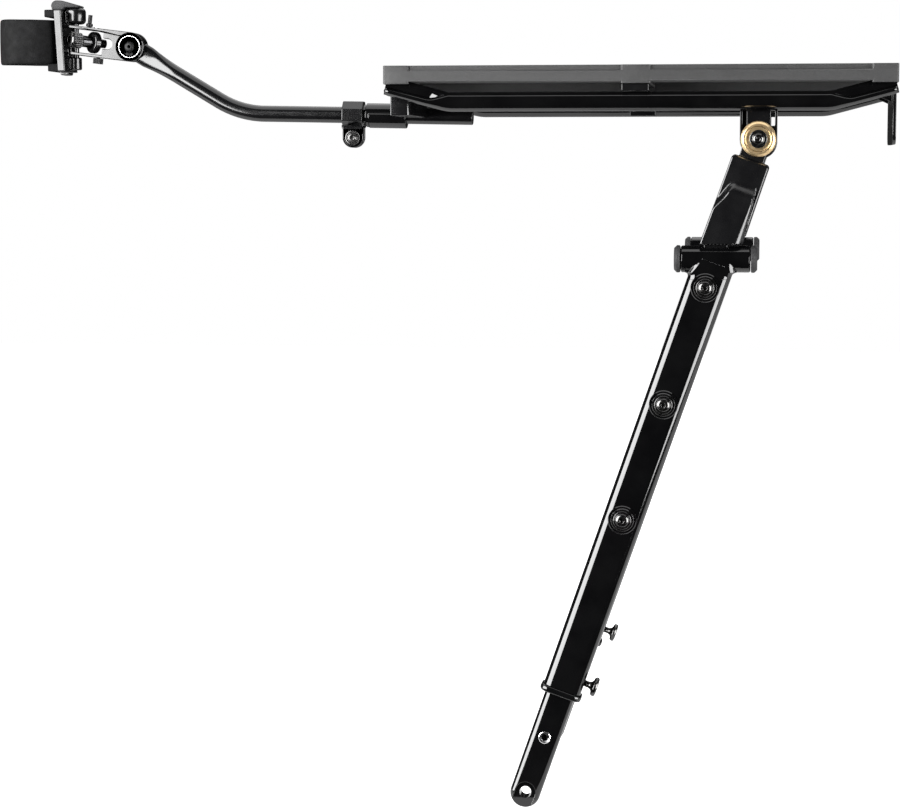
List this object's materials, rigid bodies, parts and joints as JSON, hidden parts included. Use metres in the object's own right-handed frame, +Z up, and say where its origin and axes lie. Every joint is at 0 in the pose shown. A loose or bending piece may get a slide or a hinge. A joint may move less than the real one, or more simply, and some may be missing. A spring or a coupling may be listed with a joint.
{
  "type": "bicycle rear rack",
  "caption": "Quick-mount bicycle rear rack: flat ribbed deck on two rails, a sliding front arm with a strap clamp, and telescopic legs on brass-faced pivots.",
  "frame": {"origin": "centre of the deck's flat top", "axes": "+X towards the bicycle's rear, +Z up; the XZ plane is the plane of symmetry"},
  "size_m": [0.4957, 0.175, 0.4306],
  "materials": {
    "gloss_black": "gloss",
    "satin_black": "satin",
    "black_oxide": "satin",
    "deck_plastic": "matte",
    "grey_plastic": "matte",
    "rubber": "matte",
    "brass": "satin",
    "steel": "polished"
  },
  "bodies": {
    "rack": {"deck_platform": "deck_plastic", "front_crossbar": "satin_black", "middle_bracket": "satin_black", "light_bracket": "satin_black", "sleeve": "gloss_black", "collar_clamp": "satin_black", "collar_bolt": "black_oxide", "collar_nut": "black_oxide", "rail_left": "gloss_black", "hanger_left": "satin_black", "pivot_bush_left": "brass", "pivot_bolt_left": "black_oxide", "rail_right": "gloss_black", "hanger_right": "satin_black", "pivot_bush_right": "brass", "pivot_bolt_right": "black_oxide"},
    "arm": {"arm": "satin_black"},
    "yoke": {"yoke": "satin_black", "head_pivot_ring": "steel", "head_pivot_bolt": "black_oxide", "head_pivot_nut": "black_oxide", "tension_screw": "black_oxide", "tension_nut": "satin_black", "stop_screw": "black_oxide", "lock_screw": "black_oxide", "clamp_knob": "black_oxide"},
    "clamp": {"cradle": "satin_black", "strap": "rubber", "strap_tab": "grey_plastic", "swivel_pin": "black_oxide"},
    "upper_leg_left": {"upper_leg_left": "gloss_black"},
    "outer_leg_left": {"outer_leg_left": "gloss_black", "leg_band_left": "gloss_black", "splay_pin_left": "black_oxide", "barrel_cap_front_left": "grey_plastic", "barrel_cap_rear_left": "grey_plastic", "cage_bolt_left_1": "black_oxide", "cage_washer_left_1": "black_oxide", "cage_bolt_left_2": "black_oxide", "cage_washer_left_2": "black_oxide", "cage_bolt_left_3": "black_oxide", "cage_washer_left_3": "black_oxide"},
    "inner_leg_left": {"inner_leg_left": "gloss_black", "rivet_nut_left": "steel"},
    "thumb_screw_left": {"thumb_screw_left": "black_oxide"},
    "upper_leg_right": {"upper_leg_right": "gloss_black"},
    "outer_leg_right": {"outer_leg_right": "gloss_black", "leg_band_right": "gloss_black", "splay_pin_right": "black_oxide", "barrel_cap_front_right": "grey_plastic", "barrel_cap_rear_right": "grey_plastic", "cage_bolt_right_1": "black_oxide", "cage_washer_right_1": "black_oxide", "cage_bolt_right_2": "black_oxide", "cage_washer_right_2": "black_oxide", "cage_bolt_right_3": "black_oxide", "cage_washer_right_3": "black_oxide"},
    "inner_leg_right": {"inner_leg_right": "gloss_black", "rivet_nut_right": "steel"},
    "thumb_screw_right": {"thumb_screw_right": "black_oxide"}
  },
  "joints": [
    {"name": "arm_slide", "type": "slide", "parent": "rack", "child": "arm", "axis": [0.9998, 0, -0.0175], "range_m": [-0.035, 0.035]},
    {"name": "head_pivot", "type": "hinge", "parent": "arm", "child": "yoke", "pos_m": [-0.2869, 0, 0.0142], "axis": [0, 1, 0], "range_deg": [-40, 60]},
    {"name": "clamp_swivel", "type": "hinge", "parent": "yoke", "child": "clamp", "pos_m": [-0.3189, 0, 0.018], "axis": [0, 0, 1], "range_deg": [-5, 5]},
    {"name": "leg_pivot_left", "type": "hinge", "parent": "rack", "child": "upper_leg_left", "pos_m": [0.0619, -0.076, -0.0382], "axis": [0, 1, 0], "range_deg": [-50, 55]},
    {"name": "leg_splay_left", "type": "hinge", "parent": "upper_leg_left", "child": "outer_leg_left", "pos_m": [0.04077, -0.076, -0.09956], "axis": [1, 0, 0], "range_deg": [-12, 12]},
    {"name": "leg_slide_left", "type": "slide", "parent": "outer_leg_left", "child": "inner_leg_left", "axis": [-0.3256, 0, -0.9455], "range_m": [-0.018, 0.045]},
    {"name": "thumb_turn_left", "type": "hinge", "parent": "outer_leg_left", "child": "thumb_screw_left", "pos_m": [-0.03522, -0.076, -0.32025], "axis": [0.9455, 0, -0.3256], "continuous": true},
    {"name": "leg_pivot_right", "type": "hinge", "parent": "rack", "child": "upper_leg_right", "pos_m": [0.0619, 0.076, -0.0382], "axis": [0, 1, 0], "range_deg": [-50, 55]},
    {"name": "leg_splay_right", "type": "hinge", "parent": "upper_leg_right", "child": "outer_leg_right", "pos_m": [0.04077, 0.076, -0.09956], "axis": [1, 0, 0], "range_deg": [-12, 12]},
    {"name": "leg_slide_right", "type": "slide", "parent": "outer_leg_right", "child": "inner_leg_right", "axis": [-0.3256, 0, -0.9455], "range_m": [-0.018, 0.045]},
    {"name": "thumb_turn_right", "type": "hinge", "parent": "outer_leg_right", "child": "thumb_screw_right", "pos_m": [-0.03522, 0.076, -0.32025], "axis": [0.9455, 0, -0.3256], "continuous": true}
  ]
}
